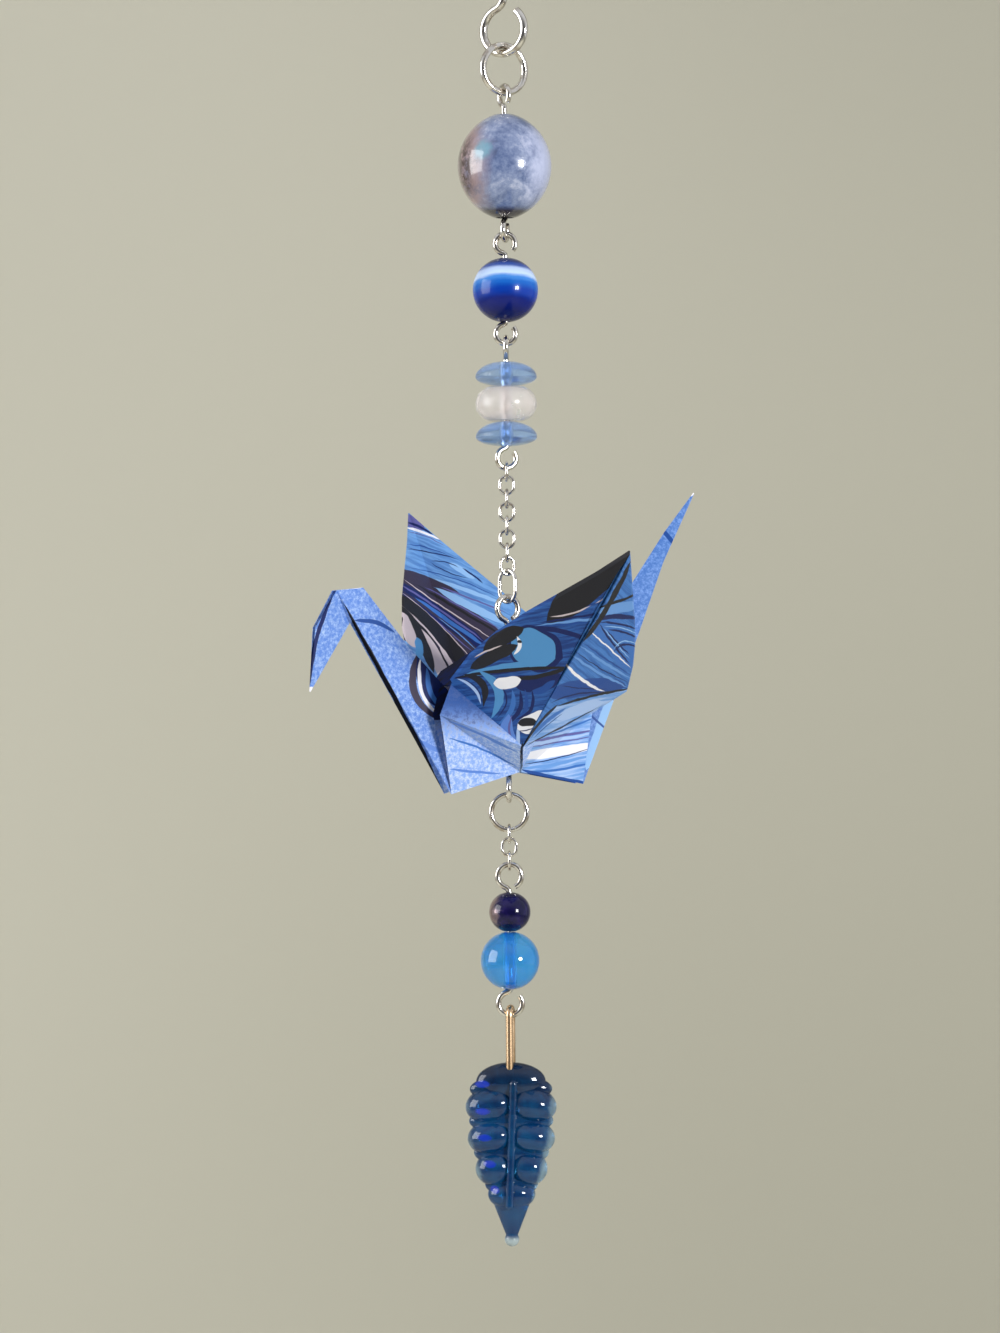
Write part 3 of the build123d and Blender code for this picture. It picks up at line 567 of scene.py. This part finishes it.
# Leaf: dark teal glass pressed in a two-part mould, with painted cobalt glints in its left lobes,
# cast round the two ends of a loop of rose-gold wire and thinning to clear edges and tip.

antique_gold, shader, place = new_finish("antique_gold_wire", Metallic=1.0)
tarnish = place.noise(420.0, 4.0, 0.55)
varies(
    shader,
    place,
    Base_Color=tarnish.step(0.35, 0.7).blend((0.80, 0.56, 0.34), (0.46, 0.30, 0.16)),
    Roughness=0.20 + tarnish * 0.16,
)
dress(antique_gold, "leaf_wire")

teal_glass, shader, place = new_finish(
    "teal_glass", Transmission_Weight=0.5, Coat_Weight=0.35, Specular_IOR_Level=0.3
)
seeds = place.noise(420.0, 3.0, 0.55, 0.8)
east, north, height = place.axes()
leaf_drop = 0.1511
leaf_length = 0.0225
widest_half = 0.0056
fall = (height + leaf_drop) / -leaf_length
body = seeds.step(0.25, 0.75).blend((0.001, 0.040, 0.165), (0.006, 0.10, 0.27))
body = (fall + seeds * 0.2).step(0.45, 0.05).blend(body, (0.001, 0.013, 0.048))
past_widest = fall - 0.35
half_width = widest_half - past_widest.math("MAXIMUM", past_widest, 0.0) * 0.0068
rim = (abs(east + 0.0002) / half_width + seeds * 0.2).step(0.92, 1.12)
body = rim.blend(body, (0.30, 0.44, 0.52))
heart = ((east / half_width + 0.62) * 3.6) ** 2.0
ribs = fall * 44.0 - 3.4
lobes = ribs.math("SINE", ribs)
# Painted glint: cobalt patches along the left lobes.
painted_cobalt_glint = (lobes - heart + seeds * 0.5).step(0.75, 1.15) * (fall < 0.72)
body = painted_cobalt_glint.blend(body, (0.010, 0.055, 0.72))
body = fall.step(0.935, 0.965).blend(body, (0.55, 0.66, 0.70))
varies(shader, place, Base_Color=body, Roughness=0.04 + seeds * 0.07)
dress(teal_glass, "glass_leaf")

# Studio: a plain warm grey wall far behind and a floor of the same, in a room that is bright to the
# sides and above and dim behind the camera, with one small lamp to the right and a soft one to the left.

studio_size = 2.4
upright = (math.radians(90.0), 0.0, 0.0)
bpy.ops.object.select_all(action="DESELECT")
bpy.ops.mesh.primitive_plane_add(size=studio_size, location=(0.0, 0.55, -0.1), rotation=upright)
wall = bpy.context.object
wall.name = "studio_wall"
bpy.ops.mesh.primitive_plane_add(size=studio_size, location=(0.0, 0.0, -0.42))
floor = bpy.context.object
floor.name = "studio_floor"
plain_grey, shader, place = new_finish("plain_warm_grey", Roughness=0.9)
soft_shade = place.noise(2.2, 1.0)
shade = (soft_shade * 0.5 + place.axes()[0]).step(0.55, -0.05)
varies(shader, place, Base_Color=shade.blend((0.49, 0.475, 0.385), (0.63, 0.61, 0.51)))
for surface in (wall, floor):
    surface.data.materials.append(plain_grey)

world = bpy.data.worlds.new("soft_room")
bpy.context.scene.world = world
world.use_nodes = True
room = world.node_tree
sight = Field(room, room.nodes.new("ShaderNodeTexCoord").outputs["Generated"])
east, north, height = sight.axes()
open_sides = (north + abs(height) * 0.5).step(-0.90, -0.25)
light = open_sides.blend((0.15, 0.15, 0.16), (0.92, 0.94, 0.98))
room.links.new(light.socket, room.nodes["Background"].inputs["Color"])
room.nodes["Background"].inputs["Strength"].default_value = 0.68

aim_drop = 0.1
for name, size, power, spot in (
    ("key_lamp", 0.14, 4.0, (0.46, -0.52, -0.02)),
    ("side_lamp", 0.45, 3.0, (-0.62, -0.16, 0.04)),
):
    bpy.ops.object.light_add(type="AREA", location=spot)
    lamp = bpy.context.object
    lamp.name = name
    lamp.data.size = size
    lamp.data.energy = power
    turn = math.atan2(spot[0], -spot[1])
    lamp.rotation_euler = (math.atan2(math.hypot(spot[0], spot[1]), spot[2] + aim_drop), 0.0, turn)

photo_rows = 1333
metres_per_row = 0.0001221
frame_height = photo_rows * metres_per_row
camera_distance = 0.45
bpy.ops.object.camera_add(location=(-0.00098, -camera_distance, -0.10277))
camera = bpy.context.object
camera.rotation_euler = (math.radians(90.0), math.radians(0.4), 0.0)
camera.data.sensor_fit = "VERTICAL"
camera.data.angle = 2 * math.atan(frame_height / 2 / camera_distance)
bpy.context.scene.camera = camera
